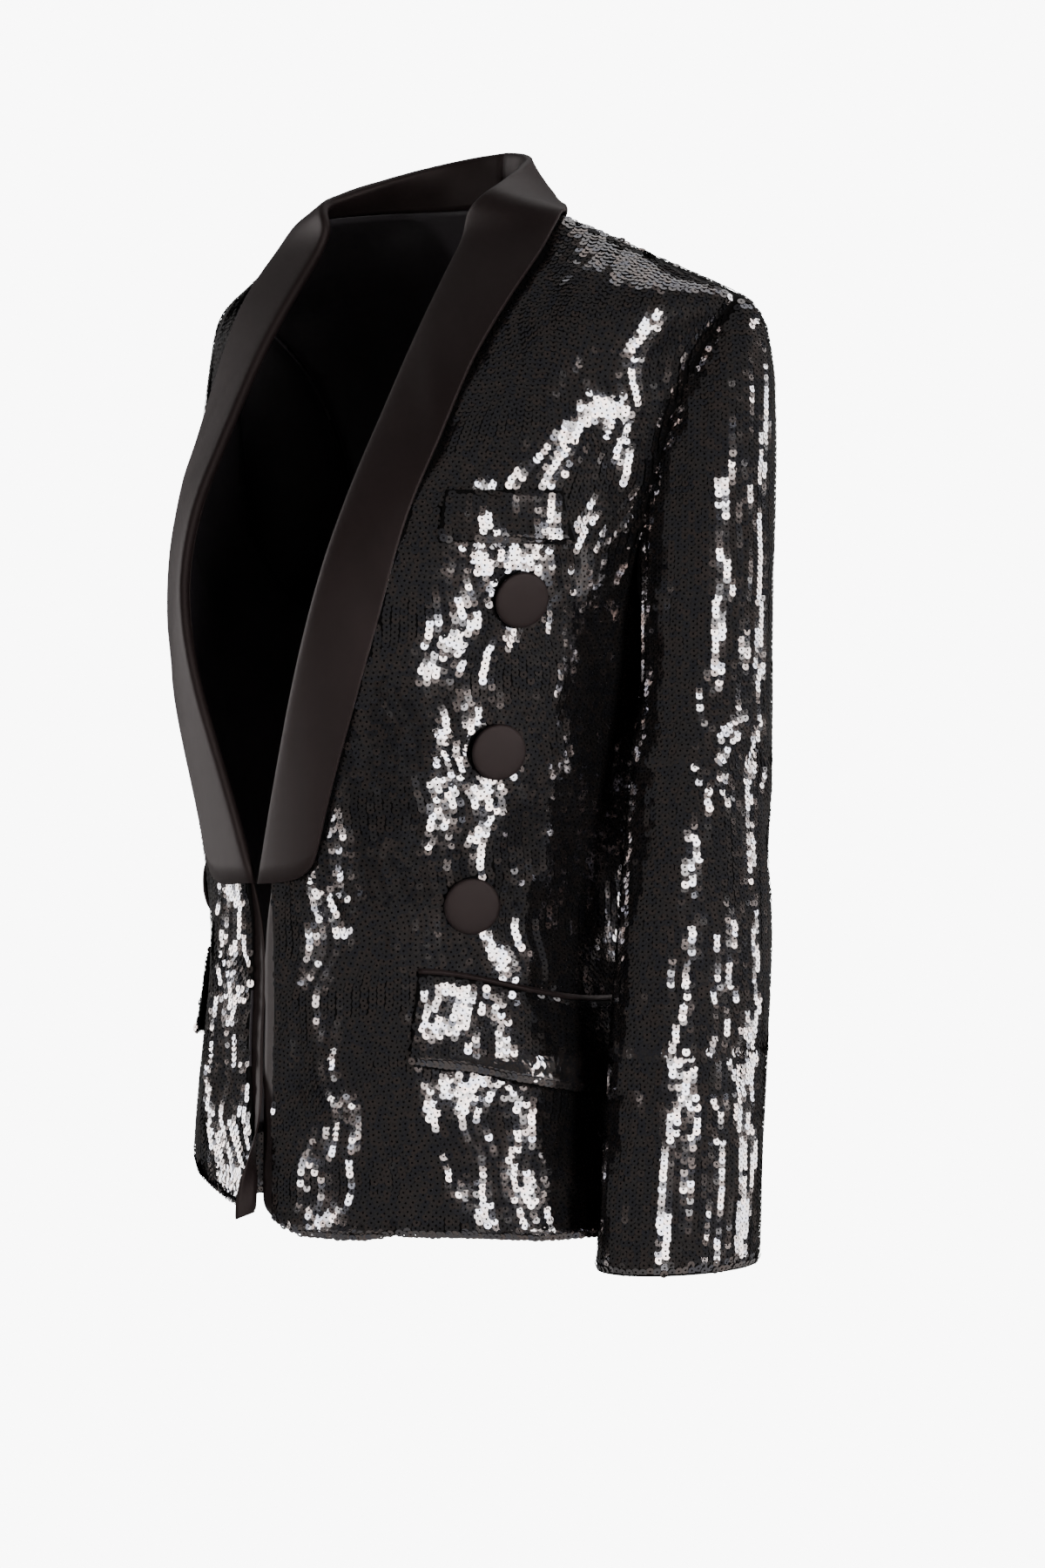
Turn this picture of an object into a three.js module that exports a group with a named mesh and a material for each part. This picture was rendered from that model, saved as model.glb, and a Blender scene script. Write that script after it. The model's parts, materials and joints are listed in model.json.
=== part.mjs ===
// A woman's sequined evening blazer with a satin shawl collar, open and hollow as when it is worn.
// Millimetres, +Z up. The front faces -Y and the wearer's left is +X.
// The origin lies midway between the two shoulder lines, level with the collar's edge on them.
import * as THREE from 'three'

// Driving sizes of the cloth and its seams
const CLOTH = 2.0
const SATIN = 1.2
const COLLAR_CLOTH = 2.0
const SEAM_GAP = 0.3
const LAYER_GAP = 0.3

// Driving sizes of the body of the blazer
const HEM = -604
const SATIN_EDGE = 10
const UNDERARM = -240
const SHOULDER_TIP = -50
const NAPE = 13

// The form: one row for each level, with the half width at the side line, where the side line lies,
// the depth in front of it and behind it, and how square the front and back halves are
const LEVELS = [
  { z: -625, half: 163, side: -8, front: 171, back: 129, squareFront: 2.1, squareBack: 2.3 },
  { z: -595, half: 160, side: -8, front: 170, back: 127, squareFront: 2.1, squareBack: 2.3 },
  { z: -540, half: 153, side: -7, front: 170, back: 122, squareFront: 2.1, squareBack: 2.3 },
  { z: -500, half: 146, side: -6, front: 170, back: 116, squareFront: 2.1, squareBack: 2.3 },
  { z: -460, half: 139, side: -5, front: 170, back: 108, squareFront: 2.1, squareBack: 2.3 },
  { z: -415, half: 136, side: -5, front: 171, back: 98, squareFront: 2.1, squareBack: 2.3 },
  { z: -355, half: 142, side: -3, front: 178, back: 92, squareFront: 2.2, squareBack: 2.3 },
  { z: -300, half: 149, side: 1, front: 189, back: 90, squareFront: 2.3, squareBack: 2.4 },
  { z: -240, half: 152, side: 8, front: 205, back: 90, squareFront: 2.2, squareBack: 2.6 },
  { z: -183, half: 178, side: 12, front: 196, back: 82, squareFront: 2.0, squareBack: 2.8 },
  { z: -131, half: 193, side: 14, front: 166, back: 72, squareFront: 2.0, squareBack: 2.9 },
  { z: -80, half: 207, side: 13, front: 131, back: 62, squareFront: 2.1, squareBack: 2.9 },
  { z: -50, half: 214, side: 10, front: 107, back: 56, squareFront: 2.0, squareBack: 2.2 },
  { z: -38, half: 186, side: -1, front: 88, back: 58, squareFront: 2.0, squareBack: 1.9 },
  { z: -25, half: 161, side: -12, front: 66, back: 60, squareFront: 2.0, squareBack: 1.7 },
  { z: -13, half: 135, side: -23, front: 47, back: 66, squareFront: 2.0, squareBack: 1.6 },
  { z: 0, half: 109, side: -37, front: 30, back: 74, squareFront: 2.0, squareBack: 1.7 },
  { z: 8, half: 80, side: -49, front: 22, back: 81, squareFront: 2.0, squareBack: 2.0 },
  { z: 14, half: 71, side: -49, front: 20, back: 79, squareFront: 2.0, squareBack: 2.0 },
  { z: 21, half: 63, side: -46, front: 20, back: 74, squareFront: 2.0, squareBack: 2.0 },
  { z: 33, half: 56, side: -39, front: 20, back: 67, squareFront: 2.0, squareBack: 2.0 },
  { z: 45, half: 51, side: -33, front: 20, back: 62, squareFront: 2.0, squareBack: 2.0 },
]

// The shawl collar: one row for each station from the break of the fronts to the centre back, with
// the height and half width of its rolled edge and of its outer edge, and the share of the way
// between them at which it is sewn to the body. Behind the shoulder the places are angles.
const COLLAR = [
  { zRoll: -396, xRoll: 5, zEdge: -392, xEdge: 45, sewn: 0.09 },
  { zRoll: -357, xRoll: 17, zEdge: -352, xEdge: 54, sewn: 0.09 },
  { zRoll: -325, xRoll: 28, zEdge: -320, xEdge: 66, sewn: 0.09 },
  { zRoll: -297, xRoll: 38, zEdge: -292, xEdge: 76, sewn: 0.09 },
  { zRoll: -265, xRoll: 49, zEdge: -260, xEdge: 85, sewn: 0.09 },
  { zRoll: -235, xRoll: 58, zEdge: -230, xEdge: 92, sewn: 0.1 },
  { zRoll: -183, xRoll: 66, zEdge: -178, xEdge: 99, sewn: 0.1 },
  { zRoll: -151, xRoll: 67, zEdge: -144, xEdge: 104, sewn: 0.1 },
  { zRoll: -116, xRoll: 68, zEdge: -106, xEdge: 108, sewn: 0.1 },
  { zRoll: -81, xRoll: 68, zEdge: -70, xEdge: 113, sewn: 0.1 },
  { zRoll: -49, xRoll: 68, zEdge: -40, xEdge: 116, sewn: 0.1 },
  { zRoll: -19, xRoll: 66, zEdge: -15, xEdge: 117, sewn: 0.12 },
  { zRoll: 2, xRoll: 65, zEdge: -4, xEdge: 115, sewn: 0.2 },
  { zRoll: 14, degRoll: 90, zEdge: -2, degEdge: 90, sewn: 0.5 },
  { zRoll: 25, degRoll: 108, zEdge: 3, degEdge: 112, sewn: 0.72 },
  { zRoll: 34, degRoll: 130, zEdge: 2, degEdge: 134, sewn: 0.74 },
  { zRoll: 40, degRoll: 155, zEdge: -5, degEdge: 157, sewn: 0.64 },
  { zRoll: 42, degRoll: 180, zEdge: -13, degEdge: 180, sewn: 0.53 },
]

// Seams of the body: the armhole's reach in front and behind, and the rows of the panels at which
// the fronts break and the arms leave, as shares of the way up
const ARMHOLE_FRONT = 13.6
const ARMHOLE_BACK = 27
const ARMHOLE_FULLNESS = 1.2
const BREAK_ROW = 0.34
const UNDERARM_ROW = 0.6
const BACK_NECK_COLUMN = 0.6
const BREAK_BLEND = 0.15
const ROW_TILT = 1.6
const SHOULDER_TOP = 10
const HALVINGS = 30

// The cloth of each part of the body: how far its hem is lifted at its lower corner and elsewhere,
// whether the corner rolls outward, and its soft upright folds, with where each lies, its width,
// height and start. Its right side hangs higher, and its lift runs on across the side seam.
const RIGHT_LIFT = { height: 38, degrees: 62, width: 54 }
const BODY = {
  frontLeft: {
    corner: 14,
    lift: { height: 5, degrees: 42, width: 16 },
    rolls: false,
    folds: [
      { degrees: 30, width: 9, height: 2.5, from: -420 },
      { degrees: 66, width: 10, height: 3.5, from: -300 },
    ],
  },
  frontRight: {
    corner: 6,
    lift: RIGHT_LIFT,
    rolls: true,
    folds: [
      { degrees: 20, width: 8, height: 5, from: -405 },
      { degrees: 58, width: 10, height: 4, from: -440 },
    ],
  },
  backLeft: {
    corner: 0,
    lift: { height: 4, degrees: 140, width: 18 },
    rolls: false,
    folds: [
      { degrees: 118, width: 9, height: 4, from: -260 },
      { degrees: 143, width: 8, height: 3, from: -330 },
      { degrees: 168, width: 8, height: 3.5, from: -420 },
    ],
  },
  backRight: {
    corner: 0,
    lift: RIGHT_LIFT,
    rolls: false,
    folds: [
      { degrees: 112, width: 8, height: 4.5, from: -300 },
      { degrees: 136, width: 9, height: 2.5, from: -270 },
      { degrees: 168, width: 8, height: 3.5, from: -420 },
    ],
  },
}
const FOLD_FADE = 110

// How far round a corner's lift reaches, how flat-topped the other lifts are, and how fast they die
// away above the hem
const CORNER_REACH = 45
const LIFT_POWER = 4
const HEM_POWER = 6

// The right front's lower corner: where its roll starts and is full, how much cloth it takes, and
// how far the front draws back from the centre beside it
const ROLL = { from: -490, full: -590, width: 13, line: 9, radius: 6.5, turn: 150 }
const OPENING = { from: -460, length: 50, width: 4.5, reach: 90 }

// Columns and rows of the panels' points, as shares across and up
const FRONT_COLUMNS = [0, 0.03, 0.06, 0.09, 0.13, 0.19, 0.27, 0.37, 0.48, 0.6, 0.73, 0.87, 1]
const FACING_STEP = 0.015
const FACING_COLUMNS = [-1, ...FRONT_COLUMNS.slice(0, 8)]
const BACK_COLUMNS = [0, 0.12, 0.24, 0.36, 0.48, 0.6, 0.7, 0.8, 0.9, 1]
const LOWER_ROWS = [0, 0.025, 0.055, 0.09, 0.13, 0.18, 0.23, 0.29, 0.34]
const MIDDLE_ROWS = [0.4, 0.46, 0.53, 0.6]
const UPPER_ROWS = [0.63, 0.665, 0.7, 0.735, 0.77, 0.805, 0.84, 0.875, 0.905, 0.935, 0.96, 0.98, 1]
const BODY_ROWS = [...LOWER_ROWS, ...MIDDLE_ROWS, ...UPPER_ROWS]

// The collar's cloth: how far its fall stands off the body, where the fall starts to hang free
// behind the shoulder, its squared lower corner, and the shares and turns at which it has points
const NECK_POINT_STATION = 13
const FALL_GAP = 3.8
const COLLAR_SEAM = 0.45
const STAND_SHARES = [1, 0.5, 0]
const ROLL_TURNS = [45, 90, 135]
const FALL_SHARES = [0, 0.2, 0.45, 0.7, 0.87, 1]
const ROLL_SPAN = 0.15
const HANG = { from: 12, length: 1.5 }
const LAPEL_CORNER = { rise: 12, from: 0.5, power: 2.5 }
const LAPEL_DROP = { left: 0, right: 9, stations: 2 }

// The sleeves: one row for each level, with the centre and the half widths across and ahead
const SLEEVES = {
  left: [
    { z: -262, x: 193, y: 4, across: 36, ahead: 41 },
    { z: -387, x: 198, y: -10, across: 38, ahead: 50 },
    { z: -617, x: 207, y: -35, across: 38.5, ahead: 56.5 },
  ],
  right: [
    { z: -262, x: 193, y: 8, across: 36, ahead: 41 },
    { z: -330, x: 188, y: 20, across: 37, ahead: 45 },
    { z: -400, x: 186, y: 30, across: 38, ahead: 50 },
    { z: -617, x: 199, y: 50, across: 38.5, ahead: 56.5 },
  ],
}
const SLEEVE_ROWS = [-262, -300, -345, -390, -435, -480, -530, -580, -617]
const CAP_ROWS = [0, 0.08, 0.18, 0.32, 0.5, 0.7, 0.86]
const SLEEVE_GAP = 0.4
const CAP = { lift: 0.12, fall: 0.45, out: 0.9, under: 0.4, ahead: 0.35, down: 0.35, drop: 0.5 }
const SLEEVE_FOLDS = [
  { turn: 30, width: 26, height: 2.5, z: -330, length: 60, slant: 0.25 },
  { turn: 75, width: 22, height: -2.5, z: -400, length: 50, slant: 0.3 },
  { turn: 300, width: 24, height: 2.5, z: -430, length: 60, slant: -0.25 },
]

// Pockets: a slanting hip pocket with a satin jet above its flap, and a breast welt
const POCKET = { from: 41, to: 87, z: -444, drop: 20, bend: 1.1, columns: 10 }
const JET = { height: 3.4, stand: 2.4, flat: 0.6, rows: 2 }
const FLAP = { height: 52, thickness: 2.0, flare: 2.5, slant: 3, rows: 4 }
const WELT = { from: 114, to: 158, top: -164.5, bottom: -193.5, thickness: 2.0, columns: 6, rows: 2 }
const APPLIED_GAP = 0.7

// Covered buttons: two slanting rows of three, each a domed disc on a short shank
const BUTTON = { radius: 17, thick: 4.5, dome: 1.4, shank: 4, seat: 0.5, stand: 3.2, round: 1.3 }
const BUTTON_SIDES = 20
const BUTTONS = [
  { name: '1', degrees: 60.7, z: -227 },
  { name: '2', degrees: 58.2, z: -316 },
  { name: '3', degrees: 53.2, z: -407 },
]

const radians = Math.PI / 180
const mix = (a, b, t) => a + (b - a) * t
const clamp = (value, low, high) => Math.min(high, Math.max(low, value))
const smooth = t => {
  const s = clamp(t, 0, 1)
  return s * s * (3 - 2 * s)
}

// A smooth curve through a table's column: cubic pieces whose slopes come from the neighbours
function tableCurve(keys, values) {
  const slopes = keys.map((key, i) => {
    const low = Math.max(0, i - 1)
    const high = Math.min(keys.length - 1, i + 1)
    return (values[high] - values[low]) / (keys[high] - keys[low])
  })
  return key => {
    let i = 0
    while (i < keys.length - 2 && key > keys[i + 1]) i += 1
    const step = keys[i + 1] - keys[i]
    const t = clamp((key - keys[i]) / step, 0, 1)
    const a = values[i]
    const b = values[i + 1]
    const rise = (2 * t * t * t - 3 * t * t) * (a - b) + a
    return rise + step * t * (1 - t) * (slopes[i] * (1 - t) - slopes[i + 1] * t)
  }
}

const levelKeys = LEVELS.map(row => row.z)
const form = Object.fromEntries(
  ['half', 'side', 'front', 'back', 'squareFront', 'squareBack'].map(column => [
    column,
    tableCurve(levelKeys, LEVELS.map(row => row[column])),
  ]),
)

// A point of the form. The angle is 0 at the centre front, 90 at the left side and 180 at the back.
function formPoint(degrees, z) {
  const sine = Math.sin(degrees * radians)
  const cosine = Math.cos(degrees * radians)
  const ahead = cosine > 0
  const power = 2 / (ahead ? form.squareFront(z) : form.squareBack(z))
  const depth = ahead ? form.front(z) : form.back(z)
  const x = form.half(z) * Math.sign(sine) * Math.abs(sine) ** power
  const y = form.side(z) - depth * Math.sign(cosine) * Math.abs(cosine) ** power
  return new THREE.Vector3(x, y, z)
}

// The angle at which the form is a given half width wide, on its front or its back
function angleAt(x, z, behind = false) {
  const power = (behind ? form.squareBack(z) : form.squareFront(z)) / 2
  const share = clamp(Math.abs(x) / form.half(z), 0, 1)
  const angle = (Math.sign(x) * Math.asin(share ** power)) / radians
  return behind ? 180 - angle : angle
}

// The outward direction of the form at a point
function formNormal(degrees, z) {
  const turn = 0.5
  const rise = 0.5
  const across = formPoint(degrees + turn, z).sub(formPoint(degrees - turn, z))
  const along = formPoint(degrees, z + rise).sub(formPoint(degrees, z - rise))
  return across.cross(along).normalize()
}

// A closed wall between an outer and an inner skin, both grids of points of the same size.
// A ring closes on itself across its columns.
function wallGeometry(outer, inner, ring = false) {
  const rows = outer.length
  const columns = outer[0].length
  const positions = []
  const triangles = []
  for (const skin of [outer, inner]) {
    for (const row of skin) {
      for (const point of row) positions.push(point.x, point.y, point.z)
    }
  }
  const at = (skin, row, column) => skin * rows * columns + row * columns + (column % columns)
  const quad = (a, b, c, d) => triangles.push(a, b, c, a, c, d)
  const spans = ring ? columns : columns - 1
  for (let r = 0; r < rows - 1; r += 1) {
    for (let c = 0; c < spans; c += 1) {
      quad(at(0, r, c), at(0, r, c + 1), at(0, r + 1, c + 1), at(0, r + 1, c))
      quad(at(1, r, c), at(1, r + 1, c), at(1, r + 1, c + 1), at(1, r, c + 1))
    }
  }
  for (let c = 0; c < spans; c += 1) {
    quad(at(0, 0, c), at(1, 0, c), at(1, 0, c + 1), at(0, 0, c + 1))
    const top = rows - 1
    quad(at(0, top, c), at(0, top, c + 1), at(1, top, c + 1), at(1, top, c))
  }
  if (!ring) {
    for (let r = 0; r < rows - 1; r += 1) {
      quad(at(0, r, 0), at(0, r + 1, 0), at(1, r + 1, 0), at(1, r, 0))
      const side = columns - 1
      quad(at(0, r, side), at(1, r, side), at(1, r + 1, side), at(0, r + 1, side))
    }
  }
  const geometry = new THREE.BufferGeometry()
  geometry.setAttribute('position', new THREE.Float32BufferAttribute(positions, 3))
  geometry.setIndex(triangles)
  return geometry
}

// The same solid on the wearer's right: mirrored across X, with its faces turned round again
function mirrored(geometry) {
  const copy = geometry.clone()
  copy.scale(-1, 1, 1)
  const index = copy.getIndex()
  for (let i = 0; i < index.count; i += 3) {
    const first = index.getX(i)
    index.setX(i, index.getX(i + 1))
    index.setX(i + 1, first)
  }
  return copy
}

const collarColumns = COLLAR.map(row => ({
  zRoll: row.zRoll,
  zEdge: row.zEdge,
  degRoll: row.degRoll ?? angleAt(row.xRoll, row.zRoll),
  degEdge: row.degEdge ?? angleAt(row.xEdge, row.zEdge),
  sewn: row.sewn,
}))
const collarKeys = COLLAR.map((row, i) => i)
const collar = Object.fromEntries(
  ['zRoll', 'zEdge', 'degRoll', 'degEdge', 'sewn'].map(column => [
    column,
    tableCurve(collarKeys, collarColumns.map(row => row[column])),
  ]),
)

// A place between the collar's rolled edge, share 0, and its outer edge, share 1
function collarPlace(station, share) {
  const degrees = mix(collar.degRoll(station), collar.degEdge(station), share)
  const z = mix(collar.zRoll(station), collar.zEdge(station), share)
  return { degrees, z }
}
const neckline = station => collarPlace(station, collar.sewn(station))

// The armhole is a loop: turn 0 at the shoulder tip, 90 in front, 180 under the arm, 270 behind
function armhole(turn) {
  const sine = Math.sin(turn * radians)
  const middle = (SHOULDER_TIP + UNDERARM) / 2
  const z = middle + ((SHOULDER_TIP - UNDERARM) / 2) * Math.cos(turn * radians)
  const reach = sine > 0 ? -ARMHOLE_FRONT : ARMHOLE_BACK
  return { degrees: 90 + reach * Math.abs(sine) ** ARMHOLE_FULLNESS, z }
}

// The height of the shoulder line at a half width, found by halving
function shoulderHeight(x) {
  let low = SHOULDER_TIP
  let high = SHOULDER_TOP
  for (let i = 0; i < HALVINGS; i += 1) {
    const middle = (low + high) / 2
    if (form.half(middle) > x) low = middle
    else high = middle
  }
  return (low + high) / 2
}

// A panel of the body, row v and column u, between two upright boundaries and below a top one.
// Under the arm its rows are level; above, they tilt until the last one is the top seam.
const widthAt = place => formPoint(place.degrees, place.z).x
function panelPlace(panel, u, v) {
  const start = panel.from(v)
  const end = panel.to(v)
  const lift = clamp((v - UNDERARM_ROW) / (1 - UNDERARM_ROW), 0, 1)
  const place = { degrees: mix(start.degrees, end.degrees, u), z: mix(start.z, end.z, u) }
  if (lift === 0) return place
  const top = panel.top(u)
  const topStart = panel.from(1)
  const topEnd = panel.to(1)
  const bend = lift * lift
  const widthError = widthAt(top) - mix(widthAt(topStart), widthAt(topEnd), u)
  const heightError = top.z - mix(topStart.z, topEnd.z, u)
  const x = mix(widthAt(start), widthAt(end), u) + widthError * bend
  const z = place.z + heightError * bend
  const byWidth = angleAt(x, z, panel.behind)
  return { degrees: mix(place.degrees, byWidth, smooth(lift * ROW_TILT)), z }
}

const tip = { degrees: 90, z: SHOULDER_TIP }
const neckPoint = neckline(NECK_POINT_STATION)
const tipWidth = widthAt(tip)
const neckWidth = widthAt(neckPoint)
function shoulderSeam(share) {
  return { degrees: 90, z: shoulderHeight(mix(neckWidth, tipWidth, share)) }
}

// How far on the roll of the lower corner is at a height
const rollShare = z => smooth((ROLL.from - z) / (ROLL.from - ROLL.full))

// The blend from the upright front edge into the break below the collar
const nearBreak = share => smooth((share - 1 + BREAK_BLEND) / BREAK_BLEND)

// The front edge stands in from the middle by an inset, and above the break it follows the collar
function frontEdge(v, inset, rolls) {
  if (v > BREAK_ROW) return neckline(((v - BREAK_ROW) / (1 - BREAK_ROW)) * NECK_POINT_STATION)
  const share = v / BREAK_ROW
  const z = mix(HEM, neckline(0).z, share)
  const past = rolls ? ROLL.width * rollShare(z) : 0
  const x = mix(inset - past, widthAt(neckline(0)), nearBreak(share))
  return { degrees: angleAt(x, z), z }
}
function sideLine(v, sign) {
  if (v <= UNDERARM_ROW) return { degrees: 90, z: mix(HEM, UNDERARM, v / UNDERARM_ROW) }
  return armhole(180 - (sign * 180 * (v - UNDERARM_ROW)) / (1 - UNDERARM_ROW))
}
const frontPanel = rolls => ({
  from: v => frontEdge(v, SATIN_EDGE, rolls),
  to: v => sideLine(v, 1),
  top: u => shoulderSeam(u),
  behind: false,
})
const lastStation = COLLAR.length - 1
const backPanel = {
  from: v => sideLine(v, -1),
  to: v => ({ degrees: 180, z: mix(HEM, NAPE, v) }),
  top: u => (u <= BACK_NECK_COLUMN
    ? shoulderSeam(1 - u / BACK_NECK_COLUMN)
    : neckline(mix(NECK_POINT_STATION, lastStation, (u - BACK_NECK_COLUMN) / (1 - BACK_NECK_COLUMN)))),
  behind: true,
}

function foldHeight(folds, degrees, z) {
  return folds.reduce((sum, fold) => {
    const across = Math.exp(-(((degrees - fold.degrees) / fold.width) ** 2))
    return sum + fold.height * across * smooth((fold.from - z) / FOLD_FADE)
  }, 0)
}

// Past its roll line, the right front's lower corner curls outward and shows its satin facing
function rolled(place, standoff) {
  const strength = rollShare(place.z)
  const past = ROLL.line - widthAt(place)
  if (past <= 0 || strength === 0) return null
  const radius = ROLL.radius / strength
  const base = { degrees: angleAt(ROLL.line, place.z), z: place.z }
  const origin = formPoint(base.degrees, base.z)
  const outward = formNormal(base.degrees, base.z)
  const inward = formPoint(base.degrees - 1, base.z).sub(origin).normalize()
  const turn = Math.min(past / radius, ROLL.turn * radians)
  const straight = past - turn * radius
  const along = radius * Math.sin(turn) + straight * Math.cos(turn)
  const out = radius * (1 - Math.cos(turn)) + straight * Math.sin(turn)
  const normal = outward.clone().multiplyScalar(Math.cos(turn))
    .addScaledVector(inward, -Math.sin(turn))
  return origin.addScaledVector(inward, along).addScaledVector(outward, out)
    .addScaledVector(normal, standoff)
}

// The hem is lifted at the front's rounded corner and where the cloth swings out
function hemmed(place, cloth) {
  const { height, degrees, width } = cloth.lift
  const share = clamp((UNDERARM - place.z) / (UNDERARM - HEM), 0, 1) ** HEM_POWER
  const corner = cloth.corner * clamp(1 - Math.abs(widthAt(place)) / CORNER_REACH, 0, 1) ** 2
  const rise = height * Math.exp(-(((place.degrees - degrees) / width) ** LIFT_POWER))
  return { degrees: place.degrees, z: place.z + share * (corner + rise) }
}

// Where it rolls, the right front draws back from the centre
function opened(place) {
  const x = Math.max(0, widthAt(place))
  const width = OPENING.width * smooth((OPENING.from - place.z) / OPENING.length)
  const fade = clamp(1 - x / OPENING.reach, 0, 1) ** 2
  if (fade === 0) return place
  return { degrees: angleAt(widthAt(place) + width * fade, place.z), z: place.z }
}

// A point of the cloth of a part of the body, at a distance from the form, with its folds
function clothPoint(place, standoff, cloth) {
  const lifted = hemmed(place, cloth)
  const at = cloth.rolls ? opened(lifted) : lifted
  const corner = cloth.rolls ? rolled(at, standoff) : null
  if (corner) return corner
  const height = standoff + foldHeight(cloth.folds, at.degrees, at.z)
  return formPoint(at.degrees, at.z).addScaledVector(formNormal(at.degrees, at.z), height)
}

// The outward direction of the folded cloth at a place
function clothNormal(place, cloth) {
  const step = 3
  const beside = (turn, rise) => clothPoint(
    { degrees: place.degrees + turn, z: place.z + rise }, 0, cloth)
  const across = beside(step, 0).sub(beside(-step, 0))
  const along = beside(0, step).sub(beside(0, -step))
  return across.cross(along).normalize()
}

// Draws the boundary of a skin in by half a seam gap on the named sides
function inset(grid, sides, gap = SEAM_GAP / 2) {
  const rows = grid.length
  const columns = grid[0].length
  const pull = (row, column, towardRow, towardColumn) => {
    const step = grid[towardRow][towardColumn].clone().sub(grid[row][column]).setLength(gap)
    return step
  }
  const moves = []
  for (let r = 0; r < rows; r += 1) {
    if (sides.includes('from')) moves.push([r, 0, pull(r, 0, r, 1)])
    if (sides.includes('to')) moves.push([r, columns - 1, pull(r, columns - 1, r, columns - 2)])
  }
  for (let c = 0; c < columns; c += 1) {
    if (sides.includes('low')) moves.push([0, c, pull(0, c, 1, c)])
    if (sides.includes('top')) moves.push([rows - 1, c, pull(rows - 1, c, rows - 2, c)])
  }
  for (const [row, column, step] of moves) grid[row][column].add(step)
  return grid
}

function panelGeometry(place, columns, seams, depth, cloth) {
  const skin = standoff => inset(BODY_ROWS.map(v => columns.map(u => (
    clothPoint(place(u, v), standoff, cloth)))), seams)
  return wallGeometry(skin(depth.outer), skin(depth.inner))
}
const frontPlace = rolls => (u, v) => panelPlace(frontPanel(rolls), u, v)
const facingStrip = v => FACING_STEP * nearBreak(v / BREAK_ROW)
const facingPlace = rolls => (u, v) => (u < 0
  ? frontEdge(v, 0, rolls)
  : frontPlace(rolls)(u || facingStrip(v), v))
const backPlace = (u, v) => panelPlace(backPanel, u, v)
const panelDepth = { outer: 0, inner: -CLOTH }
const facingDepth = { outer: -CLOTH - LAYER_GAP, inner: -CLOTH - LAYER_GAP - SATIN }
const frontGeometry = cloth => panelGeometry(
  frontPlace(cloth.rolls), FRONT_COLUMNS, ['from', 'to', 'top'], panelDepth, cloth)
const facingGeometry = cloth => panelGeometry(
  facingPlace(cloth.rolls), FACING_COLUMNS, ['from', 'top'], facingDepth, cloth)
const backGeometry = cloth => panelGeometry(
  backPlace, BACK_COLUMNS, ['from', 'to', 'top'], panelDepth, cloth)

// The shawl collar's cloth goes up from its seam, over the roll and down to its outer edge
const collarStations = [
  ...BODY_ROWS.filter(v => v >= BREAK_ROW)
    .map(v => ((v - BREAK_ROW) / (1 - BREAK_ROW)) * NECK_POINT_STATION),
  ...BACK_COLUMNS.filter(u => u > BACK_NECK_COLUMN)
    .map(u => mix(NECK_POINT_STATION, lastStation, (u - BACK_NECK_COLUMN) / (1 - BACK_NECK_COLUMN))),
]
function collarPoint(station, share, standoff) {
  const place = collarPlace(station, share)
  const corner = clamp((share - LAPEL_CORNER.from) / (1 - LAPEL_CORNER.from), 0, 1)
  place.z += LAPEL_CORNER.rise * corner ** LAPEL_CORNER.power * (1 - smooth(station))
  return formPoint(place.degrees, place.z)
    .addScaledVector(formNormal(place.degrees, place.z), standoff)
}
// In front the fall lies over the chest, and its lower corner may hang lower; behind the shoulder
// it hangs straight from roll to edge
function fallPoint(station, share, standoff, drop) {
  const lying = collarPoint(station, share, standoff)
  lying.z -= drop * share * (1 - smooth(station / LAPEL_DROP.stations))
  const hanging = collarPoint(station, 0, standoff).lerp(collarPoint(station, 1, standoff), share)
  return lying.lerp(hanging, smooth((station - HANG.from) / HANG.length))
}
function collarSkin(low, high, drop) {
  return collarStations.map(station => {
    const sewn = collar.sewn(station)
    const crest = collarPlace(station, 0)
    const outward = formNormal(crest.degrees, crest.z)
    const edge = formPoint(crest.degrees, crest.z)
    const beyond = edge.clone().sub(collarPoint(station, ROLL_SPAN, 0))
    beyond.addScaledVector(outward, -beyond.dot(outward)).normalize()
    const middle = (low + high) / 2
    const radius = (high - low) / 2
    const over = ROLL_TURNS.map(turn => edge.clone()
      .addScaledVector(outward, middle - radius * Math.cos(turn * radians))
      .addScaledVector(beyond, radius * Math.sin(turn * radians)))
    return [
      ...STAND_SHARES.map(share => collarPoint(station, share * sewn, low)),
      ...over,
      ...FALL_SHARES.map(share => fallPoint(station, share, high, drop)),
    ]
  })
}
function collarGeometry(drop) {
  const [outer, inner] = [
    collarSkin(-COLLAR_CLOTH, FALL_GAP + COLLAR_CLOTH, drop),
    collarSkin(0, FALL_GAP, drop),
  ].map(skin => inset(inset(skin, ['from'], COLLAR_SEAM), ['top']))
  return wallGeometry(outer, inner)
}

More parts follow.
